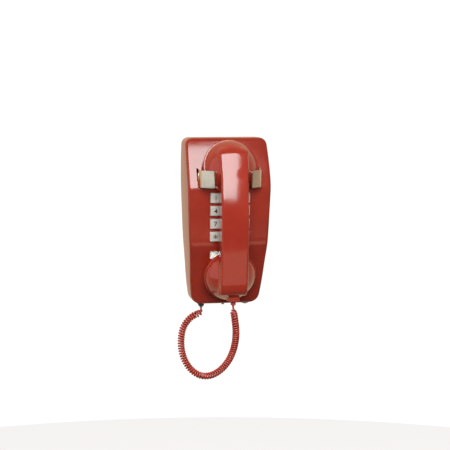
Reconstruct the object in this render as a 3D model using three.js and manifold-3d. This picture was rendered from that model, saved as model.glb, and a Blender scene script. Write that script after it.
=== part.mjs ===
// Slimline push-button wall phone. Millimetres, +X right, +Y to the wall, +Z up.
// The origin is the centre of the base plate's rear face, which lies on the wall.
import * as THREE from "three";
import { mergeVertices } from "three/addons/utils/BufferGeometryUtils.js";
import Module from "manifold-3d";

// ---------- driving dimensions ----------
const BODY_TOP = 111;
const BODY_BOTTOM = -111;
const WALL = 2.5; // moulded shell thickness
const FACE_FILLET = 4;
const CORNER_TOP = 9;
const CORNER_BOTTOM = 12;
// half-width of the front outline, and depth of the face off the wall, by height
const HALF_WIDTH = [[-111, 45], [-81, 48.7], [-53, 50.6], [-18, 53], [17, 54.3], [53, 55.3], [80, 55.2], [100, 54.6], [111, 54]];
const FACE_DEPTH = [[-111, 28], [-80, 37.5], [-50, 48], [-28, 55.62], [-21, 56.22], [36, 61.05], [43, 61.65], [50, 60.95], [57, 58.95], [64, 56.5], [90, 45], [111, 34]];
const CROWN = 1.2; // the face is this much deeper at its middle than at its sides
const KEY_W = 14.5, KEY_H = 13, KEY_PROUD = 2.6, KEY_GAP = 0.4;
const KEY_PITCH_X = 19, KEY_PITCH_Z = 17;
const KEYPAD_Z = 8.3;
const KEY_TRAVEL = 3;
const CARD_Z = -42.4, CARD_HALF_W = 25, CARD_HALF_H = 5.9;
const CAP_R = 35.6, MOUTH_CAP_R = 34.4;
const CAP_TILT = (17 * Math.PI) / 180;
const RECEIVER_AT = [0, -64, 75.2];
const TRANSMITTER_AT = [0, -62, -69.5];
const HANDLE_HALF_W = 17.7;
const HOOK_IN = 23.8, HOOK_OUT = 42.4, HOOK_T = 1.5, HOOK_LIP_DEPTH = 83;
const HOOK_PIVOT = [0, -20, 62];
const CORD_R = 5;
const STUD_PITCH = 86;

const wasm = await Module();
wasm.setup();

// ---------- helpers ----------
// smooth curve through a table, with slopes from the neighbouring points
function smooth(table, z) {
  const n = table.length;
  if (z <= table[0][0]) return table[0][1];
  if (z >= table[n - 1][0]) return table[n - 1][1];
  let i = 0;
  while (z > table[i + 1][0]) i++;
  const slope = (a, b) => (table[b][1] - table[a][1]) / (table[b][0] - table[a][0]);
  const h = table[i + 1][0] - table[i][0], t = (z - table[i][0]) / h;
  const d = slope(i, i + 1);
  const m0 = i > 0 ? (slope(i - 1, i) + d) / 2 : d;
  const m1 = i < n - 2 ? (slope(i + 1, i + 2) + d) / 2 : d;
  const t2 = t * t, t3 = t2 * t;
  return (2 * t3 - 3 * t2 + 1) * table[i][1] + (t3 - 2 * t2 + t) * h * m0 + (-2 * t3 + 3 * t2) * table[i + 1][1] + (t3 - t2) * h * m1;
}
const faceDepth = (z) => smooth(FACE_DEPTH, z);
const halfWidth = (z) => smooth(HALF_WIDTH, z);

function solid(geometry, matrix) {
  const g0 = geometry.index ? geometry.toNonIndexed() : geometry.clone();
  let g = new THREE.BufferGeometry().setAttribute("position", g0.getAttribute("position"));
  if (matrix) g.applyMatrix4(matrix);
  g = mergeVertices(g, 1e-4);
  const p = g.attributes.position.array, t = [];
  const idx = g.index.array;
  let vol = 0;
  for (let i = 0; i < idx.length; i += 3) {
    const [a, b, c] = [idx[i], idx[i + 1], idx[i + 2]];
    if (a === b || b === c || c === a) continue;
    t.push(a, b, c);
    const A = [p[3 * a], p[3 * a + 1], p[3 * a + 2]], B = [p[3 * b], p[3 * b + 1], p[3 * b + 2]], C = [p[3 * c], p[3 * c + 1], p[3 * c + 2]];
    vol += (A[0] * (B[1] * C[2] - B[2] * C[1]) + A[1] * (B[2] * C[0] - B[0] * C[2]) + A[2] * (B[0] * C[1] - B[1] * C[0])) / 6;
  }
  if (vol < 0) for (let i = 0; i < t.length; i += 3) [t[i + 1], t[i + 2]] = [t[i + 2], t[i + 1]];
  return new wasm.Manifold(new wasm.Mesh({ numProp: 3, vertProperties: new Float32Array(p), triVerts: new Uint32Array(t) }));
}
function toGeometry(s) {
  const m = s.getMesh(), n = m.numProp, v = new Float32Array(m.numVert * 3);
  for (let i = 0; i < m.numVert; i++) v.set(m.vertProperties.subarray(i * n, i * n + 3), i * 3);
  const g = new THREE.BufferGeometry().setAttribute("position", new THREE.BufferAttribute(v, 3)).setIndex(new THREE.BufferAttribute(new Uint32Array(m.triVerts), 1));
  g.computeVertexNormals();
  return g;
}
const basis = (x, y, z, at = [0, 0, 0]) => new THREE.Matrix4().makeBasis(new THREE.Vector3(...x), new THREE.Vector3(...y), new THREE.Vector3(...z)).setPosition(...at);
const shapeOf = (points, holes = []) => {
  const s = new THREE.Shape(points.map((p) => new THREE.Vector2(p[0], p[1])));
  s.holes = holes.map((h) => new THREE.Path(h.map((p) => new THREE.Vector2(p[0], p[1]))));
  return s;
};
const extrude = (points, depth, holes, extra = {}) => new THREE.ExtrudeGeometry(shapeOf(points, holes), { depth, bevelEnabled: false, curveSegments: 6, ...extra });
// a plate whose outline is in x and z, from one depth off the wall to another
const plate = (points, d0, d1, holes) => solid(extrude(points, d1 - d0, holes), basis([1, 0, 0], [0, 0, 1], [0, -1, 0], [0, -d0, 0]));
const rect = (x0, x1, z0, z1) => [[x0, z0], [x1, z0], [x1, z1], [x0, z1]];
function box(x0, x1, y0, y1, z0, z1, matrix) {
  const m = new THREE.Matrix4().makeTranslation((x0 + x1) / 2, (y0 + y1) / 2, (z0 + z1) / 2);
  if (matrix) m.premultiply(matrix);
  return solid(new THREE.BoxGeometry(x1 - x0, y1 - y0, z1 - z0), m);
}
// a turned solid: profile of [radius, height] along a direction from a point
function turned(profile, at, dir, segments = 32) {
  const q = new THREE.Quaternion().setFromUnitVectors(new THREE.Vector3(0, 1, 0), new THREE.Vector3(...dir).normalize());
  const m = new THREE.Matrix4().compose(new THREE.Vector3(...at), q, new THREE.Vector3(1, 1, 1));
  return solid(new THREE.LatheGeometry(profile.map((p) => new THREE.Vector2(p[0], p[1])), segments), m);
}
const rod = (r, h0, h1, at, dir, segments = 20) => turned([[0, h0], [r, h0], [r, h1], [0, h1]], at, dir, segments);
const all = (first, ...rest) => rest.reduce((a, b) => a.add(b), first);
const cut = (first, ...rest) => rest.reduce((a, b) => a.subtract(b), first);

const phone = new THREE.Group();
const COLOURS = {
  red: [0xa52a20, 0.25, 0], chrome: [0xc9c4b8, 0.15, 1], steel: [0x9a9a96, 0.45, 0.9], grey: [0x9b978c, 0.5, 0], black: [0x1c1b1a, 0.5, 0],
  board: [0x6f5a2c, 0.6, 0], brass: [0xb08d3c, 0.3, 1], key: [0xcfc8ba, 0.35, 0], card: [0xf0ece0, 0.8, 0], clear: [0xe6e8e6, 0.1, 0], copper: [0x8c4a26, 0.5, 0.4],
  rubber: [0x4a4742, 0.8, 0], cord: [0xb03a30, 0.45, 0],
};
function add(name, s, look) {
  const [color, roughness, metalness] = COLOURS[look];
  const mesh = new THREE.Mesh(s.isBufferGeometry ? s : toGeometry(s), new THREE.MeshStandardMaterial({ color, roughness, metalness }));
  mesh.name = name;
  phone.add(mesh);
}

// ---------- moulded body ----------
// cross-sections stacked in z: rear left, up the left side, over the rounded face, down the right side
function bodyLoft(inset, rear, sidesteps) {
  const zb = BODY_BOTTOM + inset, zt = BODY_TOP - inset, r = Math.max(FACE_FILLET - inset, 1.2);
  const ct = CORNER_TOP - inset, cb = CORNER_BOTTOM - inset;
  const zs = [];
  for (const a of [0, 0.35, 0.7, 1.05, 1.35]) zs.push(zb + cb * (1 - Math.cos(a)));
  const extra = sidesteps ? [-92, -80, -68, -56, -48, -40, -33, -28, -20, 0, 20, 33, 40, 47, 54, 62, 72, 82, 92] : [-92, -74, -58, -46, -34, -28, 0, 30, 40, 50, 62, 76, 90];
  for (const z of extra) if (z > zb + cb && z < zt - ct) zs.push(z);
  for (const a of [1.35, 1.05, 0.7, 0.35, 0]) zs.push(zt - ct * (1 - Math.cos(a)));
  const ring = (z) => {
    let w = halfWidth(z) - inset, d = faceDepth(z) - inset;
    const lowC = zb + cb - z, topC = z - (zt - ct);
    if (lowC > 0) w -= cb - Math.sqrt(Math.max(cb * cb - lowC * lowC, 0));
    if (topC > 0) w -= ct - Math.sqrt(Math.max(ct * ct - topC * topC, 0));
    const lowF = zb + r - z, topF = z - (zt - r);
    if (lowF > 0) d -= r - Math.sqrt(Math.max(r * r - lowF * lowF, 0));
    if (topF > 0) d -= r - Math.sqrt(Math.max(r * r - topF * topF, 0));
    const pts = [[-w - (rear ? 0 : 0), rear]];
    for (const a of [0, 0.4, 0.8, 1.2, Math.PI / 2]) pts.push([-w + r * (1 - Math.cos(a)), -(d - CROWN - r + r * Math.sin(a))]);
    for (const u of [-0.6, -0.2, 0.2, 0.6]) pts.push([u * (w - r), -(d - CROWN * u * u)]);
    for (const a of [Math.PI / 2, 1.2, 0.8, 0.4, 0]) pts.push([w - r * (1 - Math.cos(a)), -(d - CROWN - r + r * Math.sin(a))]);
    pts.push([w, rear]);
    return pts.map((p) => [p[0], p[1], z]);
  };
  const rings = zs.map(ring), n = rings[0].length, pos = [], idx = [];
  for (const rg of rings) for (const p of rg) pos.push(...p);
  for (let k = 0; k + 1 < rings.length; k++)
    for (let i = 0; i < n; i++) {
      const j = (i + 1) % n, a = k * n + i, b = k * n + j, c = a + n, d = b + n;
      idx.push(a, b, d, a, d, c);
    }
  for (const [k, flip] of [[0, true], [rings.length - 1, false]]) {
    const mid = pos.length / 3, rg = rings[k];
    pos.push(0, (rg[0][1] + rg[Math.floor(n / 2)][1]) / 2, rg[0][2]);
    for (let i = 0; i < n; i++) {
      const j = (i + 1) % n;
      if (flip) idx.push(mid, k * n + j, k * n + i);
      else idx.push(mid, k * n + i, k * n + j);
    }
  }
  const g = new THREE.BufferGeometry().setAttribute("position", new THREE.BufferAttribute(new Float32Array(pos), 3)).setIndex(idx);
  return solid(g);
}

// frame on the face: u across, v up the face, w out of the face
function faceFrame(z) {
  const slope = (faceDepth(z + 3) - faceDepth(z - 3)) / 6, a = Math.atan(slope);
  return basis([1, 0, 0], [0, -Math.sin(a), Math.cos(a)], [0, -Math.cos(a), -Math.sin(a)], [0, -faceDepth(z), z]);
}
const KEYPAD = faceFrame(KEYPAD_Z);
const CARD = faceFrame(CARD_Z);
const COLS = [-KEY_PITCH_X, 0, KEY_PITCH_X];
const ROWS = [1.5 * KEY_PITCH_Z, 0.5 * KEY_PITCH_Z, -0.5 * KEY_PITCH_Z, -1.5 * KEY_PITCH_Z];
const NAMES = [["key_1", "key_2", "key_3"], ["key_4", "key_5", "key_6"], ["key_7", "key_8", "key_9"], ["key_star", "key_0", "key_hash"]];

let housing = bodyLoft(0, 0, true).subtract(bodyLoft(WALL, 1, false));
ROWS.forEach((v) => COLS.forEach((u) => {
  housing = housing.subtract(box(u - KEY_W / 2 - KEY_GAP, u + KEY_W / 2 + KEY_GAP, v - KEY_H / 2 - KEY_GAP, v + KEY_H / 2 + KEY_GAP, -8, 6, KEYPAD));
}));
housing = housing.subtract(box(-CARD_HALF_W, CARD_HALF_W, -CARD_HALF_H, CARD_HALF_H, -8, 6, CARD));
for (const s of [-1, 1]) {
  // slot that the hook arm comes out of, with room for the hook to rise
  const x0 = s > 0 ? HOOK_OUT - HOOK_T - 0.7 : -HOOK_OUT - 0.7, x1 = s > 0 ? HOOK_OUT + 0.7 : -HOOK_OUT + HOOK_T + 0.7;
  housing = housing.subtract(box(x0, x1, -90, -30, 55.8, 72));
}
housing = housing.subtract(box(-37.4, -24.6, -22.4, -9.6, -120, -100)); // handset cord socket
housing = housing.subtract(box(20, 38, -18.6, -13.4, -120, -104)); // ringer wheel slot
housing = housing.subtract(rod(2.3, -10, 10, [0, -9, -110], [0, 0, 1], 16)); // closing screw
add("housing", housing, "red");

// ---------- base plate ----------
const plateOutline = (inset) => {
  const pts = [];
  const zs = [-105, -100, -90, -60, -20, 20, 60, 90, 102, 107];
  const w = (z) => halfWidth(z) - inset - (z < -104 ? 8 : z < -99 ? 3 : 0) - (z > 106 ? 6 : z > 101 ? 1.5 : 0);
  for (const z of zs) pts.push([w(z), z]);
  for (const z of zs.slice().reverse()) pts.push([-w(z), z]);
  return pts;
};
const circle = (cx, cz, r, n = 16) => Array.from({ length: n }, (_, i) => [cx + r * Math.cos((i / n) * 2 * Math.PI), cz + r * Math.sin((i / n) * 2 * Math.PI)]);
const STUD_LOW = -21, STUD_HIGH = STUD_LOW + STUD_PITCH;
const keyholeSolids = (z) => [plate(circle(0, z, 5, 16), -1, 4), plate(rect(-2.6, 2.6, z, z + 11), -1, 4), plate(circle(0, z + 11, 2.6, 12), -1, 4)];
let base = plate(plateOutline(3), 0, 2);
base = cut(base, ...keyholeSolids(STUD_LOW), ...keyholeSolids(STUD_HIGH), plate(rect(-10.5, 10.5, 13, 31), -1, 4));
add("base_plate", base, "steel");

// ---------- line plug that meets the wall jack ----------
let plug = all(box(-10, 10, -9, -1, 13.5, 30.5), box(-14, 14, -7, -2.4, 11, 33));
plug = plug.subtract(box(-5, 5, -5, 1, 18, 26));
add("wall_plug_block", plug, "grey");

// ---------- keypad ----------
ROWS.forEach((v, r) => COLS.forEach((u, c) => {
  const w = KEY_W / 2, h = KEY_H / 2;
  const pts = [[-w, -h], [w, -h], [w, h], [-w, h]];
  const cap = solid(new THREE.ExtrudeGeometry(shapeOf(pts.map((p) => [p[0] + u, p[1] + v])), { depth: KEY_PROUD + 3.4 - 0.8, bevelEnabled: true, bevelThickness: 0.8, bevelSize: 0.8, bevelOffset: -0.8, bevelSegments: 2 }),
    KEYPAD.clone().multiply(new THREE.Matrix4().makeTranslation(0, 0, -3.4)));
  const flange = box(u - w - 1, u + w + 1, v - h - 1, v + h + 1, -4.7, -3.4, KEYPAD);
  const stem = box(u - 2.5, u + 2.5, v - 2.5, v + 2.5, -12, -4, KEYPAD);
  add(NAMES[r][c], all(cap, flange, stem), "key");
}));
const PAD_W = 31, PAD_H = 36;
let frame = box(-PAD_W, PAD_W, -PAD_H, PAD_H, -10.2, -3.6, KEYPAD).subtract(box(-PAD_W + 2, PAD_W - 2, -PAD_H + 2, PAD_H - 2, -8.4, 0, KEYPAD));
ROWS.forEach((v) => COLS.forEach((u) => { frame = frame.subtract(box(u - 3, u + 3, v - 3, v + 3, -12, -7, KEYPAD)); }));
add("keypad_frame", frame, "black");
add("keypad_mat", box(-PAD_W + 1, PAD_W - 1, -PAD_H + 1, PAD_H - 1, -17, -15.5, KEYPAD), "rubber");
let board = box(-PAD_W, PAD_W, -PAD_H, PAD_H, -18.9, -17.3, KEYPAD);
board = all(board, box(-PAD_W, -PAD_W + 0.7, -PAD_H, -PAD_H + 3, -18.9, -10.5, KEYPAD), box(PAD_W - 0.7, PAD_W, PAD_H - 3, PAD_H, -18.9, -10.5, KEYPAD), box(-12, 8, -10, 14, -23, -18.5, KEYPAD));
add("keypad_board", board, "board");

// ---------- number card and its window ----------
add("card_window", box(-CARD_HALF_W + 0.3, CARD_HALF_W - 0.3, -CARD_HALF_H + 0.3, CARD_HALF_H - 0.3, -1.6, 0, CARD), "clear");
add("number_card", box(-CARD_HALF_W + 0.4, CARD_HALF_W - 0.4, -CARD_HALF_H + 0.4, CARD_HALF_H - 0.4, -2.5, -1.9, CARD), "card");

// ---------- switch hook ----------
// one bent yoke: a bar behind the face, two lugs on the pivot pin, and two pockets that hold the earpiece
const lipTop = 70, lipLow = 47.8;
let hook = box(-40, 40, -47, -45.2, 57, 66).add(box(15, 25, -46, -34, 57, 58.2));
for (const s of [-1, 1]) {
  const X = (a, b) => (s > 0 ? [a, b] : [-b, -a]);
  const side = X(HOOK_OUT - HOOK_T, HOOK_OUT), lug = X(29.5, 31), tie = X(38, HOOK_OUT);
  // seen from above: the cheek leaves the face, turns in at the knee and slants across the front of the earpiece
  const root = [HOOK_OUT - HOOK_T / 2, -61.3], knee = [39, -68.5], tip = [HOOK_IN, -HOOK_LIP_DEPTH];
  const plan = (pts, z0, z1) => solid(new THREE.ExtrudeGeometry(shapeOf(pts.map((p) => [p[0] * s, p[1]])), { depth: z1 - z0, bevelEnabled: false }), new THREE.Matrix4().makeTranslation(0, 0, z0));
  const off = (a, b) => { const l = Math.hypot(b[0] - a[0], b[1] - a[1]); return [(-(b[1] - a[1]) / l) * HOOK_T / 2, ((b[0] - a[0]) / l) * HOOK_T / 2]; };
  const n1 = off(root, knee), n2 = off(knee, tip), nk = [(n1[0] + n2[0]) / 2, (n1[1] + n2[1]) / 2], k = (HOOK_T / 2) ** 2 / (nk[0] ** 2 + nk[1] ** 2);
  const side1 = (p, n, f) => [p[0] + n[0] * f, p[1] + n[1] * f];
  const strip = [side1(root, n1, 1), side1(knee, nk, k), side1(tip, n2, 1), side1(tip, n2, -1), side1(knee, nk, -k), side1(root, n1, -1)];
  hook = all(
    hook,
    box(...tie, -47, -45.2, 57, 66),
    box(...side, -62.4, -45.2, 57, 66),
    plan(strip, lipLow, lipTop),
    plan([[HOOK_OUT - HOOK_T, -61.3], [HOOK_OUT - HOOK_T, -62.2], knee, [25.6, -81.4], [25.6, -61.3]], lipLow, lipLow + HOOK_T),
    box(...lug, -46, -15.5, 57.5, 66.5),
  );
  hook = hook.subtract(rod(2.35, -60, 60, HOOK_PIVOT, [1, 0, 0], 20));
}
add("hook_cradle", hook, "chrome");
add("hook_pivot_pin", rod(2.0, -34.5, 34.5, HOOK_PIVOT, [1, 0, 0], 20), "steel");
let bracket = box(-34, 34, -3.8, -2.3, 52, 61.5);
for (const s of [-1, 1]) {
  const X = (a, b) => (s > 0 ? [a, b] : [-b, -a]);
  bracket = bracket.add(box(...X(32.5, 34), -25, -2.3, 52, 68));
}
bracket = bracket.subtract(rod(2.3, -60, 60, HOOK_PIVOT, [1, 0, 0], 20));
add("hook_bracket", bracket, "steel");
add("hookswitch_block", all(box(-12, 26, -41.5, -4.2, 46, 48.6), box(-12, 12, -40, -4.2, 48, 55), box(-3, 3, -43, -38, 52, 55)), "grey");
// return spring under the bar
add("hook_spring", solid(new THREE.ExtrudeGeometry(shapeOf(circle(0, 0, 0.6, 6)), {
  steps: 60, bevelEnabled: false,
  extrudePath: new THREE.CatmullRomCurve3(Array.from({ length: 41 }, (_, i) => new THREE.Vector3(20 + 3 * Math.cos((i / 40) * 10 * Math.PI), -38 + 3 * Math.sin((i / 40) * 10 * Math.PI), 49.4 + i * 0.171))),
})), "steel");

// ---------- ringer ----------
const GONG_X = 21.5, GONG_Z = -76, GONG_R = 16.6;
let ringer = plate(rect(-40, 40, -95, -44), 2.3, 3.8, [rect(-7, 7, -73, -61)]);
ringer = all(ringer, rod(3, 3.5, 8, [-GONG_X, 0, GONG_Z], [0, -1, 0], 12), rod(3, 3.5, 8, [GONG_X, 0, GONG_Z], [0, -1, 0], 12), box(-16, 16, -17, -3.5, -52, -50.5), rod(1.5, 3.5, 21, [0, 0, -50.6 - 6], [0, -1, 0], 12));
add("ringer_frame", ringer, "steel");
const gong = (x, r) => {
  const t = 1;
  return turned([[2, 0], [r * 0.75, 0], [r * 0.95, 2.5], [r, 9], [r - t, 9], [r * 0.95 - t, 3.2], [r * 0.75 - 0.4, t], [2, t], [2, 0]], [x, -17.6, GONG_Z], [0, 1, 0], 28);
};
add("gong_high", gong(-GONG_X, GONG_R), "brass");
add("gong_low", gong(GONG_X, GONG_R), "brass");
for (const [x, n] of [[-GONG_X, "gong_screw_left"], [GONG_X, "gong_screw_right"]])
  add(n, all(rod(3.6, 18, 20, [x, 0, GONG_Z], [0, -1, 0], 14), rod(1.7, 8.4, 18.5, [x, 0, GONG_Z], [0, -1, 0], 12)), "steel");
add("ringer_coil", all(box(-14, 14, -18, -6, -50, -41), box(-16, -14, -17, -5, -50.2, -40), box(14, 16, -17, -5, -50.2, -40)), "copper");
add("clapper", all(cut(rod(3.2, 10, 13, [0, 0, -56.6], [0, -1, 0], 14), rod(1.85, 0, 30, [0, 0, -56.6], [0, -1, 0], 14)), box(-0.8, 0.8, -12.5, -10.5, -75, -59.2), turned([[0, -3], [2.1, -2.1], [3, 0], [2.1, 2.1], [0, 3]], [0, -11.5, -76.5], [0, 0, 1], 12)), "brass");
const WHEEL = [29, -16, -104.5];
add("ringer_volume_wheel", cut(rod(9, -1.75, 1.75, WHEEL, [0, 1, 0], 30), rod(2.3, -10, 10, WHEEL, [0, 1, 0], 14)), "grey");
add("volume_wheel_post", all(rod(1.9, 4.2, 22, [WHEEL[0], 0, WHEEL[2]], [0, -1, 0], 14), rod(3, 2.3, 10, [WHEEL[0], 0, WHEEL[2]], [0, -1, 0], 14)), "steel");

// ---------- speech network ----------
add("network_board", plate(rect(-40, 40, 77, 101), 9, 10.6), "board");
add("network_transformer", all(box(-36, -14, -27, -11, 80, 98), box(-31, -19, -25, -13, 78.5, 99.5)), "copper");
add("network_capacitor", rod(6, -13, 13, [8, -18, 89], [1, 0, 0], 20), "grey");
add("line_terminal_block", all(box(-44, -22, -10, -2.4, 26, 44), box(-42, -24, -14, -9, 28, 31), box(-42, -24, -14, -9, 39, 42)), "black");
add("hookswitch_leads_clip", all(box(24, 40, -6, -2.4, 30, 40), box(24, 26, -12, -2.4, 30, 40), box(38, 40, -12, -2.4, 30, 40)), "black");

// ---------- sockets, closing screw ----------
let socket = box(-37, -25, -22, -10, -111.2, -97);
socket = socket.subtract(box(-35, -27, -19.5, -12.5, -120, -101));
add("base_cord_jack", socket, "black");
add("closing_screw", all(rod(1.9, -7, 3, [0, -9, -108], [0, 0, 1], 12), rod(3.6, 3, 5, [0, -9, -108.3], [0, 0, -1], 14).intersect(box(-9, 9, -20, 0, -125, -109))), "steel");

// ---------- handset ----------
const RA = [0, -Math.cos(CAP_TILT), Math.sin(CAP_TILT)], TA = [0, -Math.cos(CAP_TILT), -Math.sin(CAP_TILT)];
const OUTER = [[77, 97.6], [81.5, 95.6], [84.8, 92.2], [86.9, 87.5], [89, 80.5], [92.5, 66], [95.2, 52.5], [97.4, 36.5], [98.6, 24], [99, 12], [99, -10], [97.8, -32], [95.6, -52], [93.2, -68], [91.2, -79], [88.6, -86], [84.5, -90.6], [79, -92.6]];
const INNER = [[71, -86], [70, -68], [72, -54], [75.5, -40], [77.5, -20], [78.3, 0], [78.2, 20], [77.2, 38], [75, 53], [74, 66], [74, 88]];
const yz = (pts) => pts.map((p) => [-p[0], p[1]]);
const sideways = (pts, x0, x1, extra) => solid(new THREE.ExtrudeGeometry(shapeOf(yz(pts)), { depth: x1 - x0, bevelEnabled: false, ...extra }), basis([0, 1, 0], [0, 0, 1], [1, 0, 0], [x0, 0, 0]));
const BEV = 2.2;
const handle = sideways([...OUTER, ...INNER], -HANDLE_HALF_W + BEV, HANDLE_HALF_W - BEV, { bevelEnabled: true, bevelThickness: BEV, bevelSize: BEV, bevelOffset: -BEV, bevelSegments: 2 });
const cupProfile = (r) => [[0, 0], [r - 2, 0], [r - 2.4, 3.5], [r - 4.8, 8], [r - 9.2, 13.8], [r - 13.2, 18.4], [r - 17.5, 21.6], [r - 22, 22.5], [0, 22.5]];
const hollow = [[0, -1], [27.2, -1], [27.2, 6.8], [20, 10], [14.5, 16], [0, 16]];
const boss = box(-5.5, 9.5, -78, -64, -101.5, -78);
let body = all(handle, turned(cupProfile(CAP_R), RECEIVER_AT, RA, 40), turned(cupProfile(MOUTH_CAP_R), TRANSMITTER_AT, TA, 40), boss);
const core = sideways([[86, 88], [91, 62], [94.4, 32], [95.6, 8], [95.6, -8], [94, -32], [91, -56], [86, -78], [77, -72], [75, -60], [79, -38], [81, -18], [81.8, 0], [81.6, 20], [80.6, 38], [78.5, 56], [78, 78]], -13, 13);
body = cut(body, core, turned(hollow, RECEIVER_AT, RA, 32), turned(hollow, TRANSMITTER_AT, TA, 32), box(-3.8, 7.8, -75.3, -66.7, -110, -84));
add("handset_body", body, "red");
const capProfile = (r) => [[0, -9.5], [r - 8, -9.5], [r - 3, -8.4], [r, -5.2], [r, -0.8], [r - 0.5, -0.3], [27.6, -0.3], [27.6, -6.8], [0, -6.8]];
const capOf = (r, at, dir) => {
  let c = turned(capProfile(r), at, dir, 44);
  const q = new THREE.Quaternion().setFromUnitVectors(new THREE.Vector3(0, 1, 0), new THREE.Vector3(...dir));
  for (let i = 0; i < 7; i++) {
    const a = (i / 6) * 2 * Math.PI, p = new THREE.Vector3(i < 6 ? 9 * Math.cos(a) : 0, 0, i < 6 ? 9 * Math.sin(a) : 0).applyQuaternion(q);
    c = c.subtract(rod(1.4, -12, -5, [at[0] + p.x, at[1] + p.y, at[2] + p.z], dir, 8));
  }
  return c;
};
add("receiver_cap", capOf(CAP_R, RECEIVER_AT, RA), "red");
add("transmitter_cap", capOf(MOUTH_CAP_R, TRANSMITTER_AT, TA), "red");
add("receiver_capsule", turned([[0, -5.8], [20, -5.8], [26.8, -4], [26.8, 6.4], [19.4, 8.8], [12, 9.6], [0, 9.6]], RECEIVER_AT, RA, 28), "steel");
add("transmitter_capsule", turned([[0, -5.8], [22, -5.8], [24.4, -4], [24.4, 1.5], [0, 1.5]], TRANSMITTER_AT, TA, 28), "steel");
add("transmitter_cup", turned([[0, 1.8], [24.7, 1.8], [24.7, -4], [26.8, -4], [26.8, 5.4], [12, 8.6], [0, 8.6]], TRANSMITTER_AT, TA, 28), "black");
let hjack = box(-3.5, 7.5, -75, -67, -100.4, -84.5).subtract(box(-1.3, 5.3, -73.5, -68.5, -110, -90));
add("handset_cord_jack", hjack, "black");

// ---------- curly handset cord with a plug at each end ----------
add("handset_cord_plug", all(box(-1, 5, -73.2, -68.8, -105.6, -90.3), box(0.5, 3.5, -72.3, -69.7, -107.4, -105)), "cord");
add("base_cord_plug", all(box(-34.6, -27.4, -19.1, -12.9, -114.6, -101.4), box(-33, -29, -17.8, -14.2, -116.6, -114)), "black");
export const CORD_POINTS = [
  [2, -71, -107.7], [2.3, -71, -112], [4.5, -69.5, -125], [7, -65, -141], [7.5, -58, -157], [5, -51.5, -173], [-1, -45, -188], [-10.5, -39, -200], [-22, -33.5, -207], [-34, -28.5, -207.5],
  [-45, -24.5, -201], [-53.5, -21.5, -189], [-58, -19.5, -174], [-58.5, -18.5, -158], [-55.5, -17.5, -144], [-49, -17, -134], [-40.5, -16.5, -127.5], [-34, -16.1, -125], [-31.3, -16, -121.5], [-31, -16, -117.2],
];
const cordCurve = new THREE.CatmullRomCurve3(CORD_POINTS.map((p) => new THREE.Vector3(...p)));
add("handset_cord", solid(new THREE.ExtrudeGeometry(shapeOf(circle(0, 0, CORD_R, 10)), { steps: 30, bevelEnabled: false, extrudePath: cordCurve })), "cord");

export default phone;
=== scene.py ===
# Slimline push-button wall phone: the visible surfaces, materials, light and camera around the fixed frame.
import bpy
import math
import numpy as np
from mathutils import Vector, Matrix


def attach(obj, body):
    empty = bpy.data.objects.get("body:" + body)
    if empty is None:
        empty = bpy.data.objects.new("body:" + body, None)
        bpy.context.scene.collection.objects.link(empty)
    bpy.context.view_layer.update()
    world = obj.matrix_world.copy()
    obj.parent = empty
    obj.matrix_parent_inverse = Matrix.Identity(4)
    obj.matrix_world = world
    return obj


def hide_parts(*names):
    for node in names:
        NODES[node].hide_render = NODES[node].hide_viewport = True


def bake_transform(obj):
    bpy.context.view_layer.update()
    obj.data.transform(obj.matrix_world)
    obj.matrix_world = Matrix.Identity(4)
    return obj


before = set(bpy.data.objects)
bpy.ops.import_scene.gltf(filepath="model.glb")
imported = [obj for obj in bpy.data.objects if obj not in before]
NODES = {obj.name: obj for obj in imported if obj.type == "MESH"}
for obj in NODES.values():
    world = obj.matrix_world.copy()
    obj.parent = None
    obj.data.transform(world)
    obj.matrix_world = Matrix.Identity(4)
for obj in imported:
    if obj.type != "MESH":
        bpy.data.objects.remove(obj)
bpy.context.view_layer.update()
scene = bpy.context.scene
MM = 0.001

# ------------------------------------------------------------------ dimensions, as in the CAD source (mm)
BODY_TOP, BODY_BOTTOM, WALL = 111.0, -111.0, 2.5
FACE_FILLET, CORNER_TOP, CORNER_BOTTOM, CROWN = 4.0, 9.0, 12.0, 1.2
HALF_WIDTH = [(-111, 45), (-81, 48.7), (-53, 50.6), (-18, 53), (17, 54.3), (53, 55.3), (80, 55.2), (100, 54.6), (111, 54)]
FACE_DEPTH = [(-111, 28), (-80, 37.5), (-50, 48), (-28, 55.62), (-21, 56.22), (36, 61.05), (43, 61.65), (50, 60.95), (57, 58.95), (64, 56.5), (90, 45), (111, 34)]
KEY_W, KEY_H, KEY_PROUD, KEY_GAP = 14.5, 13.0, 2.6, 0.4
PITCH_X, PITCH_Z, KEYPAD_Z = 19.0, 17.0, 8.3
CARD_Z, CARD_HALF_W, CARD_HALF_H = -42.4, 25.0, 5.9
CAP_R, MOUTH_CAP_R = 35.6, 34.4
CAP_TILT = math.radians(17)
RECEIVER_AT, TRANSMITTER_AT = (0, -64, 75.2), (0, -62, -69.5)
HANDLE_HALF_W = 17.7
HOOK_IN, HOOK_OUT, HOOK_T, HOOK_LIP = 23.8, 42.4, 1.5, 83.0


def smooth(table, z):
    n = len(table)
    if z <= table[0][0]:
        return table[0][1]
    if z >= table[-1][0]:
        return table[-1][1]
    i = 0
    while z > table[i + 1][0]:
        i += 1

    def slope(a, b):
        return (table[b][1] - table[a][1]) / (table[b][0] - table[a][0])

    h = table[i + 1][0] - table[i][0]
    t = (z - table[i][0]) / h
    d = slope(i, i + 1)
    m0 = (slope(i - 1, i) + d) / 2 if i > 0 else d
    m1 = (slope(i + 1, i + 2) + d) / 2 if i < n - 2 else d
    return (2 * t**3 - 3 * t**2 + 1) * table[i][1] + (t**3 - 2 * t**2 + t) * h * m0 + (-2 * t**3 + 3 * t**2) * table[i + 1][1] + (t**3 - t**2) * h * m1


def face_depth(z):
    return smooth(FACE_DEPTH, z)


def half_width(z):
    return smooth(HALF_WIDTH, z)


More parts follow.
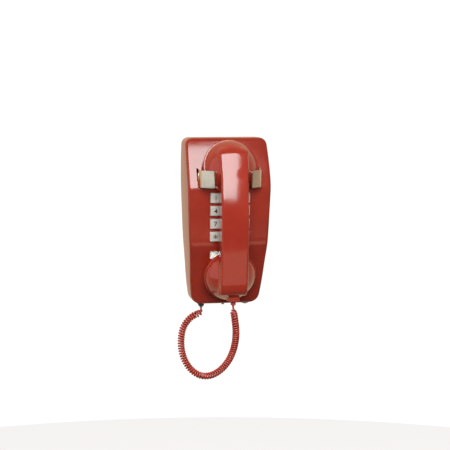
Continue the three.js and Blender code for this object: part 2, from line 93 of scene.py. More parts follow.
def face_frame(z):
    a = math.atan((face_depth(z + 3) - face_depth(z - 3)) / 6)
    m = Matrix(((1, 0, 0, 0), (0, -math.sin(a), -math.cos(a), -face_depth(z)), (0, math.cos(a), -math.sin(a), z), (0, 0, 0, 1)))
    return m


KEYPAD, CARD = face_frame(KEYPAD_Z), face_frame(CARD_Z)

# ------------------------------------------------------------------ camera
AZ, EL, DIST = math.radians(-11), math.radians(6), 1.6
MM_PER_PX = 1.353
c = Vector((math.sin(AZ) * math.cos(EL), -math.cos(AZ) * math.cos(EL), math.sin(EL)))
right = Vector((math.cos(AZ), math.sin(AZ), 0))
up = right.cross(-c).normalized() * -1
up = (-c).cross(right) * -1
up = right.cross(-c)
target = right * 0.0049 + up * -0.0081
cam_data = bpy.data.cameras.new("camera")
cam = bpy.data.objects.new("camera", cam_data)
scene.collection.objects.link(cam)
cam.location = target + c * DIST
cam.rotation_euler = (target - cam.location).to_track_quat("-Z", "Y").to_euler()
cam_data.sensor_width = 36
cam_data.lens = 18 / ((225 * MM_PER_PX * MM) / DIST)
cam_data.clip_start, cam_data.clip_end = 0.05, 50
scene.camera = cam


# ------------------------------------------------------------------ mesh helpers
def make(name, verts, faces, scale=MM):
    me = bpy.data.meshes.new(name)
    me.from_pydata([tuple(x * scale for x in v) for v in verts], [], [tuple(int(i) for i in f) for f in faces])
    me.update()
    ob = bpy.data.objects.new(name, me)
    scene.collection.objects.link(ob)
    return ob


def soften(ob, angle=35):
    ob.data.shade_smooth()
    ob.data.set_sharp_from_angle(angle=math.radians(angle))
    return ob


def baked(ob):
    """the object's mesh with its modifiers applied"""
    deps = bpy.context.evaluated_depsgraph_get()
    me = bpy.data.meshes.new_from_object(ob.evaluated_get(deps))
    old = ob.data
    ob.modifiers.clear()
    ob.data = me
    if old.users == 0:
        bpy.data.meshes.remove(old)
    return ob


def boolean(ob, cutter, op="DIFFERENCE", keep=False):
    m = ob.modifiers.new("b", "BOOLEAN")
    m.operation, m.object, m.solver = op, cutter, "EXACT"
    bpy.context.view_layer.update()
    baked(ob)
    if not keep:
        bpy.data.objects.remove(cutter)
    return ob


def bevel(ob, width, segments=2, angle=40):
    m = ob.modifiers.new("v", "BEVEL")
    m.width, m.segments, m.limit_method, m.angle_limit = width * MM, segments, "ANGLE", math.radians(angle)
    m.miter_outer = "MITER_ARC"
    m.harden_normals = False
    return baked(ob)


def prism(name, outline, w0, w1, matrix=None):
    """closed prism of an outline of [u, v] between two heights in a local frame"""
    n = len(outline)
    vs = [Vector((p[0], p[1], w0)) for p in outline] + [Vector((p[0], p[1], w1)) for p in outline]
    if matrix is not None:
        vs = [matrix @ v for v in vs]
    fs = [list(range(n))[::-1], list(range(n, 2 * n))] + [[i, (i + 1) % n, n + (i + 1) % n, n + i] for i in range(n)]
    return make(name, vs, fs)


def rounded(hw, hh, r, cx=0.0, cy=0.0, n=5):
    pts = []
    for qx, qy, a0 in ((1, 1, 0), (-1, 1, 90), (-1, -1, 180), (1, -1, 270)):
        for i in range(n + 1):
            a = math.radians(a0 + 90 * i / n)
            pts.append((cx + qx * (hw - r) + r * math.cos(a), cy + qy * (hh - r) + r * math.sin(a)))
    return pts


def toward(direction, at):
    """local frame whose third axis is direction"""
    w = Vector(direction).normalized()
    u = Vector((1, 0, 0)) if abs(w.x) < 0.9 else Vector((0, 0, 1))
    v = w.cross(u).normalized()
    u = v.cross(w).normalized()
    m = Matrix((u, v, w)).transposed().to_4x4()
    m.translation = Vector(at)
    return m


def lathe(name, profile, matrix, segments=96, closed_on_axis=True):
    """turned piece from a profile of [radius, height]; the profile starts and ends on the axis, or closes on itself"""
    vs, fs, rings = [], [], []
    for r, h in profile:
        if r < 1e-6:
            rings.append([len(vs)])
            vs.append(matrix @ Vector((0, 0, h)))
        else:
            rings.append(list(range(len(vs), len(vs) + segments)))
            vs += [matrix @ Vector((r * math.cos(2 * math.pi * i / segments), r * math.sin(2 * math.pi * i / segments), h)) for i in range(segments)]
    pairs = list(zip(rings, rings[1:]))
    if not closed_on_axis:
        pairs.append((rings[-1], rings[0]))
    for a, b in pairs:
        for i in range(segments):
            j = (i + 1) % segments
            if len(a) == 1 and len(b) == 1:
                continue
            if len(a) == 1:
                fs.append([a[0], b[j], b[i]])
            elif len(b) == 1:
                fs.append([a[i], a[j], b[0]])
            else:
                fs.append([a[i], a[j], b[j], b[i]])
    ob = make(name, vs, fs)
    outward(ob)
    return ob


def outward(ob):
    import bmesh
    bm = bmesh.new()
    bm.from_mesh(ob.data)
    bmesh.ops.recalc_face_normals(bm, faces=bm.faces)
    if bm.calc_volume(signed=True) < 0:
        bmesh.ops.reverse_faces(bm, faces=bm.faces)
    bm.to_mesh(ob.data)
    bm.free()
    return ob


def resample(points, n, closed=False):
    """n points along a smooth curve through the given points"""
    p = np.array(points, float)
    if closed:
        p = np.vstack([p[-1], p, p[0], p[1]])
    else:
        p = np.vstack([2 * p[0] - p[1], p, 2 * p[-1] - p[-2]])
    out = []
    for i in range(1, len(p) - 2):
        a, b, c_, d = p[i - 1], p[i], p[i + 1], p[i + 2]
        ta, tb, tc = [max(np.linalg.norm(x), 1e-9) ** 0.5 for x in (b - a, c_ - b, d - c_)]
        m1 = (b - a) / ta - (c_ - a) / (ta + tb) + (c_ - b) / tb
        m2 = (c_ - b) / tb - (d - b) / (tb + tc) + (d - c_) / tc
        m1, m2 = m1 * tb, m2 * tb
        for t in np.linspace(0, 1, 40, endpoint=False):
            out.append((2 * t**3 - 3 * t**2 + 1) * b + (t**3 - 2 * t**2 + t) * m1 + (-2 * t**3 + 3 * t**2) * c_ + (t**3 - t**2) * m2)
    if not closed:
        out.append(p[-2])
    out = np.array(out)
    seg = np.linalg.norm(np.diff(np.vstack([out, out[:1]]) if closed else out, axis=0), axis=1)
    s = np.concatenate([[0], np.cumsum(seg)])
    src = np.vstack([out, out[:1]]) if closed else out
    want = np.linspace(0, s[-1], n + 1)[:-1] if closed else np.linspace(0, s[-1], n)
    return np.stack([np.interp(want, s, src[:, k]) for k in range(src.shape[1])], 1), s[-1]


# ------------------------------------------------------------------ material helpers
class Mat:
    def __init__(self, name):
        self.m = bpy.data.materials.new(name)
        self.m.use_nodes = True
        self.t = self.m.node_tree
        self.b = self.t.nodes["Principled BSDF"]
        self.co = self.t.nodes.new("ShaderNodeTexCoord").outputs["Object"]

    def set(self, **kw):
        for k, v in kw.items():
            self.b.inputs[k.replace("_", " ")].default_value = v
        return self

    def noise(self, scale, detail=3.0, rough=0.5, stretch=None, distortion=0.0):
        src = self.co
        if stretch:
            mp = self.t.nodes.new("ShaderNodeMapping")
            mp.inputs["Scale"].default_value = stretch
            self.t.links.new(src, mp.inputs["Vector"])
            src = mp.outputs["Vector"]
        n = self.t.nodes.new("ShaderNodeTexNoise")
        n.inputs["Scale"].default_value = scale
        n.inputs["Detail"].default_value = detail
        n.inputs["Roughness"].default_value = rough
        n.inputs["Distortion"].default_value = distortion
        self.t.links.new(src, n.inputs["Vector"])
        return n.outputs["Fac"]

    def ramp(self, fac, stops):
        r = self.t.nodes.new("ShaderNodeValToRGB")
        el = r.color_ramp.elements
        while len(el) < len(stops):
            el.new(0.5)
        for e, (pos, col) in zip(el, stops):
            e.position = pos
            e.color = (*col, 1) if len(col) == 3 else col
        self.t.links.new(fac, r.inputs["Fac"])
        return r.outputs["Color"]

    def mix(self, fac, a, b):
        n = self.t.nodes.new("ShaderNodeMix")
        n.data_type = "RGBA"
        if isinstance(fac, float):
            n.inputs[0].default_value = fac
        else:
            self.t.links.new(fac, n.inputs[0])
        for k, v in ((6, a), (7, b)):
            if isinstance(v, tuple):
                n.inputs[k].default_value = (*v, 1)
            else:
                self.t.links.new(v, n.inputs[k])
        return n.outputs[2]

    def spread(self, fac, lo, hi, a=0.3, b=0.7):
        n = self.t.nodes.new("ShaderNodeMapRange")
        n.inputs[1].default_value, n.inputs[2].default_value = a, b
        n.inputs[3].default_value, n.inputs[4].default_value = lo, hi
        self.t.links.new(fac, n.inputs[0])
        return n.outputs[0]

    def edges(self, lo=0.52, hi=0.62):
        g = self.t.nodes.new("ShaderNodeNewGeometry")
        return self.spread(g.outputs["Pointiness"], 0.0, 1.0, lo, hi)

    def colour(self, out):
        self.t.links.new(out, self.b.inputs["Base Color"])
        return self

    def rough(self, out):
        self.t.links.new(out, self.b.inputs["Roughness"])
        return self

    def bump(self, height, strength, distance):
        n = self.t.nodes.new("ShaderNodeBump")
        n.inputs["Strength"].default_value = strength
        n.inputs["Distance"].default_value = distance
        self.t.links.new(height, n.inputs["Height"])
        self.t.links.new(n.outputs["Normal"], self.b.inputs["Normal"])
        return self


def plastic(name, base, dark, light, rough=0.2, grain=0.0004, coat=0.4):
    m = Mat(name)
    m.set(IOR=1.5, Coat_Weight=coat, Coat_Roughness=0.06)
    cloud = m.noise(14, 4, 0.6)
    col = m.ramp(cloud, [(0.3, dark), (0.55, base), (0.8, light)])
    # every sharp convex edge, found by pointiness, is painted in the lighter tone
    edge_lightened = m.mix(m.edges(0.53, 0.66), col, light)
    m.colour(edge_lightened)
    m.rough(m.spread(m.noise(60, 5, 0.65), rough * 0.8, rough * 1.35))
    m.bump(m.noise(260, 2, 0.5), 0.12, grain)
    return m.m


RED = plastic("red_plastic", (0.39, 0.034, 0.017), (0.33, 0.026, 0.013), (0.46, 0.049, 0.026), 0.13, 0.00018)
RED_HANDSET = plastic("red_plastic_handset", (0.46, 0.038, 0.019), (0.40, 0.030, 0.015), (0.53, 0.054, 0.030), 0.12, 0.00015)
KEY = plastic("key_plastic", (0.70, 0.68, 0.61), (0.60, 0.58, 0.52), (0.82, 0.80, 0.74), 0.28, 0.0002, 0.2)
BLACK = plastic("black_plastic", (0.018, 0.016, 0.015), (0.010, 0.010, 0.010), (0.05, 0.048, 0.045), 0.42, 0.0003, 0.1)
GREY = plastic("grey_plastic", (0.30, 0.28, 0.25), (0.24, 0.225, 0.20), (0.40, 0.38, 0.34), 0.45, 0.0003, 0.05)


def metal(name, base, dark, rough, smear=(1, 1, 1), bump=0.05, scale=90):
    m = Mat(name)
    m.set(Metallic=1.0)
    m.colour(m.ramp(m.noise(scale, 5, 0.6, smear), [(0.25, dark), (0.6, base)]))
    m.rough(m.spread(m.noise(scale * 1.7, 4, 0.6, smear), rough * 0.6, rough * 1.5))
    m.bump(m.noise(scale * 6, 3, 0.5, smear), bump, 0.0002)
    return m.m


CHROME = metal("hook_chrome", (0.80, 0.74, 0.62), (0.66, 0.60, 0.49), 0.19, (1, 1, 1), 0.05, 60)
STEEL = metal("zinc_steel", (0.62, 0.61, 0.57), (0.42, 0.41, 0.38), 0.34, (1, 1, 6), 0.15, 60)
BRASS = metal("gong_brass", (0.72, 0.53, 0.22), (0.48, 0.33, 0.12), 0.25, (1, 6, 1), 0.1, 50)

rub = Mat("dome_rubber")
rub.set(IOR=1.45)
rub.colour(rub.ramp(rub.noise(40, 4), [(0.3, (0.045, 0.042, 0.040)), (0.7, (0.085, 0.080, 0.074))]))
rub.rough(rub.spread(rub.noise(200, 3), 0.65, 0.9))
rub.bump(rub.noise(900, 2), 0.2, 0.0003)
RUBBER = rub.m

brd = Mat("laminate_board")
brd.set(IOR=1.5, Coat_Weight=0.5, Coat_Roughness=0.15)
brd.colour(brd.ramp(brd.noise(30, 6, 0.7, (1, 1, 9)), [(0.3, (0.16, 0.095, 0.025)), (0.6, (0.25, 0.16, 0.05)), (0.8, (0.30, 0.20, 0.07))]))
brd.rough(brd.spread(brd.noise(120, 3), 0.3, 0.55))
brd.bump(brd.noise(500, 3, 0.5, (1, 1, 5)), 0.15, 0.0002)
BOARD = brd.m

crd = Mat("index_card")
crd.set(IOR=1.4)
crd.colour(crd.ramp(crd.noise(420, 6, 0.7), [(0.3, (0.80, 0.77, 0.70)), (0.7, (0.90, 0.88, 0.82))]))
crd.rough(crd.spread(crd.noise(600, 3), 0.75, 0.95))
crd.bump(crd.noise(1500, 4), 0.25, 0.0002)
CARDM = crd.m

wnd = Mat("copper_winding")
wnd.set(IOR=1.5, Metallic=0.35, Coat_Weight=0.6, Coat_Roughness=0.1)
wv = wnd.t.nodes.new("ShaderNodeTexWave")
wv.inputs["Scale"].default_value = 900
wnd.t.links.new(wnd.co, wv.inputs["Vector"])
wnd.colour(wnd.ramp(wv.outputs["Fac"], [(0.2, (0.13, 0.035, 0.012)), (0.8, (0.42, 0.15, 0.05))]))
wnd.rough(wnd.spread(wnd.noise(100), 0.25, 0.45))
wnd.bump(wv.outputs["Fac"], 0.6, 0.0002)
WINDING = wnd.m

clr = Mat("clear_plastic")
clr.set(IOR=1.49, Transmission_Weight=0.9)
clr.colour(clr.ramp(clr.noise(25, 3), [(0.3, (0.90, 0.91, 0.89)), (0.7, (0.97, 0.97, 0.96))]))
clr.rough(clr.spread(clr.noise(60, 3), 0.02, 0.06))
clr.bump(clr.noise(120, 2), 0.03, 0.0001)
CLEAR = clr.m

crm = Mat("cord_vinyl")
crm.set(IOR=1.48, Coat_Weight=0.2, Coat_Roughness=0.2, Subsurface_Weight=0.15, Subsurface_Scale=0.002)
crm.colour(crm.ramp(crm.noise(70, 4), [(0.3, (0.46, 0.045, 0.030)), (0.7, (0.60, 0.085, 0.060))]))
crm.rough(crm.spread(crm.noise(180, 4), 0.28, 0.48))
crm.bump(crm.noise(700, 3), 0.15, 0.0002)
CORDM = crm.m

ink = Mat("glyph_ink")
ink.set(IOR=1.45)
ink.colour(ink.ramp(ink.noise(500, 3), [(0.3, (0.018, 0.016, 0.014)), (0.75, (0.055, 0.048, 0.042))]))
ink.rough(ink.spread(ink.noise(700), 0.4, 0.65))
INK = ink.m


def dress(ob, material):
    ob.data.materials.clear()
    ob.data.materials.append(material)
    return ob


def place(ob, body, material, slot, *nodes):
    dress(ob, material)
    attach(ob, body)
    if nodes:
        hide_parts(*nodes)
    return ob


# ------------------------------------------------------------------ curly handset cord
CORD_POINTS = [
    (2, -71, -107.7), (2.3, -71, -112), (4.5, -69.5, -125), (7, -65, -141), (7.5, -58, -157), (5, -51.5, -173), (-1, -45, -188), (-10.5, -39, -200), (-22, -33.5, -207), (-34, -28.5, -207.5),
    (-45, -24.5, -201), (-53.5, -21.5, -189), (-58, -19.5, -174), (-58.5, -18.5, -158), (-55.5, -17.5, -144), (-49, -17, -134), (-40.5, -16.5, -127.5), (-34, -16.1, -125), (-31.3, -16, -121.5), (-31, -16, -117.2),
]
WIRE_R, COIL_R, COIL_PITCH = 1.35, 3.55, 3.35


def coil_tube(points, name):
    """a wire wound round the axis, with a straight tail into the plug at each end"""
    axis, length = resample(points, 700)
    s = np.linspace(0, length, len(axis))
    tan = np.gradient(axis, s, axis=0)
    tan /= np.linalg.norm(tan, axis=1)[:, None]
    nrm = np.zeros_like(axis)
    n = np.cross(tan[0], [0, 1, 0])
    n /= np.linalg.norm(n)
    for i in range(len(axis)):
        n = n - tan[i] * (n @ tan[i])
        n /= np.linalg.norm(n)
        nrm[i] = n
    bi = np.cross(tan, nrm)
    tail = 3.5
    turns = (length - 2 * tail) / COIL_PITCH
    per = 14
    k = int(turns * per)
    u = np.linspace(0, 1, k)
    sc = tail + u * (length - 2 * tail)
    ang = 2 * math.pi * turns * u
    rad = COIL_R * np.clip(np.minimum(sc - tail, length - tail - sc) / 5.0, 0, 1) ** 0.6
    sc = np.concatenate([[0, tail * 0.5], sc, [length - tail * 0.5, length]])
    ang = np.concatenate([[0, 0], ang, [ang[-1], ang[-1]]])
    rad = np.concatenate([[0, 0], rad, [0, 0]])
    at = lambda a: np.stack([np.interp(sc, s, a[:, j]) for j in range(3)], 1)
    line = at(axis) + rad[:, None] * (np.cos(ang)[:, None] * at(nrm) + np.sin(ang)[:, None] * at(bi))
    t = np.gradient(line, axis=0)
    t /= np.linalg.norm(t, axis=1)[:, None]
    n = np.cross(t[0], [0, 1, 0.1])
    n /= np.linalg.norm(n)
    vs, fs, sides = [], [], 8
    for i, p in enumerate(line):
        n = n - t[i] * (n @ t[i])
        n /= np.linalg.norm(n)
        b = np.cross(t[i], n)
        for j in range(sides):
            a = 2 * math.pi * j / sides
            vs.append(p + WIRE_R * (math.cos(a) * n + math.sin(a) * b))
        if i:
            o = (i - 1) * sides
            fs += [[o + j, o + (j + 1) % sides, o + sides + (j + 1) % sides, o + sides + j] for j in range(sides)]
    fs.append(list(range(sides))[::-1])
    fs.append(list(range(len(vs) - sides, len(vs))))
    ob = make(name, vs, fs)
    outward(ob)
    return ob, axis, length


cord, cord_axis, cord_length = coil_tube(CORD_POINTS, "curly_cord")
soften(cord, 60)
dress(cord, CORDM)


# ------------------------------------------------------------------ housing shell
def body_loft(name, inset, rear, fine=True):
    zb, zt, r = BODY_BOTTOM + inset, BODY_TOP - inset, max(FACE_FILLET - inset, 1.2)
    ct, cb = CORNER_TOP - inset, CORNER_BOTTOM - inset
    arc = np.linspace(0, 1.45, 14 if fine else 6)
    zs = [zb + cb * (1 - math.cos(a)) for a in arc]
    zs += list(np.linspace(zb + cb, zt - ct, 74 if fine else 26)[1:-1])
    zs += [zt - ct * (1 - math.cos(a)) for a in arc[::-1]]
    fil = np.linspace(0, math.pi / 2, 9 if fine else 5)
    across = np.linspace(-1, 1, 26 if fine else 8)[1:-1]
    rings = []
    for z in zs:
        w, d = half_width(z) - inset, face_depth(z) - inset
        low_c, top_c = zb + cb - z, z - (zt - ct)
        if low_c > 0:
            w -= cb - math.sqrt(max(cb * cb - low_c * low_c, 0))
        if top_c > 0:
            w -= ct - math.sqrt(max(ct * ct - top_c * top_c, 0))
        low_f, top_f = zb + r - z, z - (zt - r)
        if low_f > 0:
            d -= r - math.sqrt(max(r * r - low_f * low_f, 0))
        if top_f > 0:
            d -= r - math.sqrt(max(r * r - top_f * top_f, 0))
        pts = [(-w, rear), (-w, rear - 6)] if fine else [(-w, rear)]
        pts += [(-w + r * (1 - math.cos(a)), -(d - CROWN - r + r * math.sin(a))) for a in fil]
        pts += [(u * (w - r), -(d - CROWN * u * u)) for u in across]
        pts += [(w - r * (1 - math.cos(a)), -(d - CROWN - r + r * math.sin(a))) for a in fil[::-1]]
        pts += [(w, rear - 6), (w, rear)] if fine else [(w, rear)]
        rings.append([(p[0], p[1], z) for p in pts])
    n = len(rings[0])
    vs = [p for rg in rings for p in rg]
    fs = []
    for k in range(len(rings) - 1):
        for i in range(n):
            j = (i + 1) % n
            fs.append([k * n + i, k * n + j, (k + 1) * n + j, (k + 1) * n + i])
    fs.append(list(range(n))[::-1])
    fs.append([(len(rings) - 1) * n + i for i in range(n)])
    ob = make(name, vs, fs)
    outward(ob)
    return ob


shell = body_loft("housing_shell", 0, 0)
boolean(shell, body_loft("inner", WALL, 1.0, False))
COLS = [-PITCH_X, 0, PITCH_X]
ROWS = [1.5 * PITCH_Z, 0.5 * PITCH_Z, -0.5 * PITCH_Z, -1.5 * PITCH_Z]
for v in ROWS:
    for u in COLS:
        boolean(shell, prism("cut", rounded(KEY_W / 2 + KEY_GAP, KEY_H / 2 + KEY_GAP, 1.2, u, v, 4), -8, 6, KEYPAD))
boolean(shell, prism("cut", rounded(CARD_HALF_W, CARD_HALF_H, 1.2, 0, 0, 4), -8, 6, CARD))
WALLV = Matrix(((1, 0, 0, 0), (0, 0, -1, 0), (0, 1, 0, 0), (0, 0, 0, 1)))  # u = x, v = z, w = off the wall
FLOORV = Matrix.Identity(4)
for s in (-1, 1):
    cx = s * (HOOK_OUT - HOOK_T / 2)
    boolean(shell, prism("cut", rounded(HOOK_T / 2 + 0.7, 8.1, 1.0, cx, 63.9, 4), 30, 90, WALLV))
boolean(shell, prism("cut", rounded(6.4, 6.4, 1.2, -31, -16, 4), -120, -100, FLOORV))
boolean(shell, prism("cut", rounded(9, 2.6, 1.0, 29, -16, 4), -120, -104, FLOORV))
boolean(shell, prism("cut", [(2.3 * math.cos(a), -9 + 2.3 * math.sin(a)) for a in np.linspace(0, 2 * math.pi, 24, endpoint=False)], -120, -100, FLOORV))
bevel(shell, 0.45, 2, 50)
soften(shell, 38)
place(shell, "phone_body", RED, "shell", "housing")


# ------------------------------------------------------------------ keys
def key_piece(name, u, v):
    rings = []
    hw, hh = KEY_W / 2, KEY_H / 2

    def ring(inset, r, w):
        return [(p[0], p[1], w) for p in rounded(hw - inset, hh - inset, max(r, 0.15), u, v, 5)]

    rings.append([(p[0], p[1], -3.4) for p in rounded(hw, hh, 1.0, u, v, 5)])
    rings.append(ring(0.0, 1.0, -1.2))
    rings.append(ring(0.18, 1.0, KEY_PROUD - 0.9))
    for a in np.linspace(0.2, math.pi / 2, 5):
        rings.append(ring(0.18 + 0.9 * (1 - math.cos(a)), 1.0, KEY_PROUD - 0.9 + 0.9 * math.sin(a)))
    for k, drop in ((0.25, 0.06), (0.45, 0.17), (0.65, 0.27), (0.85, 0.33)):
        rings.append([(u + (p[0] - u) * (1 - k), v + (p[1] - v) * (1 - k), KEY_PROUD - drop) for p in ring(1.08, 1.0, 0)])
    n = len(rings[0])
    vs = [KEYPAD @ Vector(p) for rg in rings for p in rg]
    fs = [list(range(n))[::-1]]
    for k in range(len(rings) - 1):
        fs += [[k * n + i, k * n + (i + 1) % n, (k + 1) * n + (i + 1) % n, (k + 1) * n + i] for i in range(n)]
    fs.append([(len(rings) - 1) * n + i for i in range(n)])
    # flange and stem below
    ob = make(name, vs, fs)
    outward(ob)
    boolean(ob, prism("f", rounded(hw + 1, hh + 1, 1.0, u, v, 3), -4.7, -3.35, KEYPAD), "UNION")
    boolean(ob, prism("s", rounded(2.5, 2.5, 0.5, u, v, 3), -12, -4.6, KEYPAD), "UNION")
    return soften(ob, 40)


def glyph(name, text, u, v, size):
    cu = bpy.data.curves.new(name, "FONT")
    cu.body, cu.size, cu.align_x, cu.align_y = text, size, "CENTER", "CENTER"
    cu.extrude, cu.offset, cu.resolution_u = 0.07, 0.1, 3
    ob = bpy.data.objects.new(name, cu)
    scene.collection.objects.link(ob)
    bpy.context.view_layer.update()
    me = bpy.data.meshes.new_from_object(ob.evaluated_get(bpy.context.evaluated_depsgraph_get()))
    bpy.data.objects.remove(ob)
    me.name = name
    co = np.zeros(len(me.vertices) * 3)
    me.vertices.foreach_get("co", co)
    co = co.reshape(-1, 3)
    co[:, :2] -= (co[:, :2].max(0) + co[:, :2].min(0)) / 2
    out = []
    for x, y, z in co:
        p = KEYPAD @ Vector((x + u, y + v, KEY_PROUD - 0.235 + z))
        out.append(p * MM)
    me.vertices.foreach_set("co", np.array([tuple(p) for p in out]).ravel())
    me.update()
    new = bpy.data.objects.new(name, me)
    scene.collection.objects.link(new)
    return new


LABELS = [["1", "2", "3"], ["4", "5", "6"], ["7", "8", "9"], ["star", "0", "hash"]]
SIGNS = {"star": "*", "hash": "#"}
for r, v in enumerate(ROWS):
    for q, u in enumerate(COLS):
        k = LABELS[r][q]
        place(key_piece("keycap_" + k, u, v), "button_" + k, KEY, "key_plastic", "key_" + k)
        place(glyph("glyph_" + k, SIGNS.get(k, k), u, v, 9.0 if k != "star" else 14.0), "button_" + k, INK, "key_plastic")


# ------------------------------------------------------------------ number card and window
card = prism("printed_card", rounded(CARD_HALF_W - 0.4, CARD_HALF_H - 0.4, 0.8, 0, 0, 4), -2.5, -1.9, CARD)
outward(card)
bevel(card, 0.08, 2, 50)
soften(card, 40)
place(card, "phone_body", CARDM, "card", "number_card")
window = prism("window_lens", rounded(CARD_HALF_W - 0.3, CARD_HALF_H - 0.3, 0.9, 0, 0, 5), -1.6, -0.1, CARD)
outward(window)
bevel(window, 0.35, 3, 50)
soften(window, 40)
place(window, "phone_body", CLEAR, "clear_plastic", "card_window")
window.visible_shadow = False


# ------------------------------------------------------------------ switch hook: bent sheet
def strip(name, path, thick, lo, hi, corner=2.5):
    """sheet of a given thickness bent along a path in x and y, standing from lo to hi in z, with rounded far corners"""
    path = np.array(path, float)
    t = np.gradient(path, axis=0)
    t /= np.linalg.norm(t, axis=1)[:, None]
    nrm = np.stack([-t[:, 1], t[:, 0]], 1)
    s = np.concatenate([[0], np.cumsum(np.linalg.norm(np.diff(path, axis=0), axis=1))])
    vs, n = [], len(path)
    for i, p in enumerate(path):
        left = s[-1] - s[i]
        cutoff = corner - math.sqrt(max(corner**2 - max(corner - left, 0) ** 2, 0)) if left < corner else 0.0
        for side in (0.5, -0.5):
            for z in (lo, hi - cutoff):
                vs.append((p[0] + nrm[i][0] * thick * side, p[1] + nrm[i][1] * thick * side, z))
    fs = []
    for i in range(n - 1):
        a, b = 4 * i, 4 * i + 4
        fs += [[a, b, b + 1, a + 1], [a + 3, b + 3, b + 2, a + 2], [a + 1, b + 1, b + 3, a + 3], [a + 2, b + 2, b, a]]
    fs += [[0, 1, 3, 2], [4 * (n - 1) + 2, 4 * (n - 1) + 3, 4 * (n - 1) + 1, 4 * (n - 1)]]
    return outward(make(name, vs, fs))


def bent(points, radius, n=7):
    """polyline with each inner corner rounded"""
    out = [np.array(points[0], float)]
    for a, b, c_ in zip(points, points[1:], points[2:]):
        a, b, c_ = (np.array(x, float) for x in (a, b, c_))
        d0, d1 = (a - b) / np.linalg.norm(a - b), (c_ - b) / np.linalg.norm(c_ - b)
        p0, p1 = b + d0 * radius, b + d1 * radius
        for t in np.linspace(0, 1, n):
            out.append((1 - t) ** 2 * p0 + 2 * t * (1 - t) * b + t**2 * p1)
    out.append(np.array(points[-1], float))
    return out


def dense_end(path, far=3.0, n=6):
    """adds points near the end of a path so that its corner can be rounded"""
    a, b = path[-2], path[-1]
    d = (b - a) / np.linalg.norm(b - a)
    return path[:-1] + [b - d * far * (1 - t) for t in np.linspace(0, 1, n)]


LIP_TOP, LIP_LOW = 70.0, 47.8
YZ = Matrix(((0, 0, 1, 0), (1, 0, 0, 0), (0, 1, 0, 0), (0, 0, 0, 1)))
parts = []
for s in (-1, 1):
    xo, xi = s * (HOOK_OUT - HOOK_T / 2), s * HOOK_IN
    lip = dense_end(bent([(xo, -61.3), (s * 39.0, -68.5), (xi, -HOOK_LIP)], 3.4))
    parts.append(strip("lip", lip, HOOK_T, LIP_LOW + 0.03, LIP_TOP, 3.0))
    parts.append(strip("arm", [np.array((xo, -45.2)), np.array((xo, -53.0)), np.array((xo, -62.4))], HOOK_T, 57, 66, 0.01))
    floor_plan = [(xo - s * 0.6, -61.35), (xo - s * 0.55, -62.2), (s * 38.9, -68.2), (s * 25.6, -81.1), (s * 25.2, -79.6), (s * 25.2, -62.6), (s * 26.4, -61.35)]
    parts.append(outward(prism("shelf", floor_plan, LIP_LOW, LIP_LOW + HOOK_T)))
    lug0, lug1 = sorted((s * 29.5, s * 31.0))
    parts.append(outward(prism("lug", rounded(15.25, 4.5, 2.0, -30.75, 62, 4), lug0, lug1, YZ)))
bar = outward(prism("hook_yoke", rounded(HOOK_OUT - 0.1, 4.5, 1.0, 0, 61.5, 3), 45.2, 47, WALLV))
for p in parts:
    boolean(bar, p, "UNION")
boolean(bar, outward(prism("tab", rounded(5, 6, 0.8, 20, -40, 3), 57, 58.2, FLOORV)), "UNION")
boolean(bar, outward(prism("pinhole", [(-20 + 2.35 * math.cos(a), 62 + 2.35 * math.sin(a)) for a in np.linspace(0, 2 * math.pi, 24, endpoint=False)], -60, 60, YZ)))
bevel(bar, 0.4, 3, 45)
soften(bar, 40)
place(bar, "switch_hook", CHROME, "hook_metal", "hook_cradle")


# ------------------------------------------------------------------ handset body as a smooth implicit surface
def polygon_sdf(poly, P):
    """signed distance of 2-D points to a closed polygon, negative inside"""
    a = poly
    b = np.roll(poly, -1, axis=0)
    best = np.full(len(P), 1e18)
    inside = np.zeros(len(P), bool)
    for (ax, ay), (bx, by) in zip(a, b):
        ex, ey = bx - ax, by - ay
        wx, wy = P[:, 0] - ax, P[:, 1] - ay
        t = np.clip((wx * ex + wy * ey) / max(ex * ex + ey * ey, 1e-12), 0, 1)
        dx, dy = wx - ex * t, wy - ey * t
        best = np.minimum(best, dx * dx + dy * dy)
        hit = (ay > P[:, 1]) != (by > P[:, 1])
        with np.errstate(divide="ignore", invalid="ignore"):
            xc = ax + (P[:, 1] - ay) * ex / (ey if abs(ey) > 1e-12 else 1e-12)
        inside ^= hit & (P[:, 0] < xc)
    d = np.sqrt(best)
    return np.where(inside, -d, d)


class Field2D:
    def __init__(self, poly, lo, hi, step):
        self.lo, self.step = np.array(lo, float), step
        self.n = (np.ceil((np.array(hi) - self.lo) / step) + 1).astype(int)
        g = np.stack(np.meshgrid(self.lo[0] + step * np.arange(self.n[0]), self.lo[1] + step * np.arange(self.n[1]), indexing="ij"), -1)
        self.v = polygon_sdf(np.array(poly, float), g.reshape(-1, 2)).reshape(self.n)

    def __call__(self, x, y):
        fx = np.clip((x - self.lo[0]) / self.step, 0, self.n[0] - 1.001)
        fy = np.clip((y - self.lo[1]) / self.step, 0, self.n[1] - 1.001)
        i, j = fx.astype(int), fy.astype(int)
        tx, ty = fx - i, fy - j
        v = self.v
        return (v[i, j] * (1 - tx) + v[i + 1, j] * tx) * (1 - ty) + (v[i, j + 1] * (1 - tx) + v[i + 1, j + 1] * tx) * ty


def smin(a, b, k):
    h = np.clip(0.5 + 0.5 * (b - a) / k, 0, 1)
    return b * (1 - h) + a * h - k * h * (1 - h)


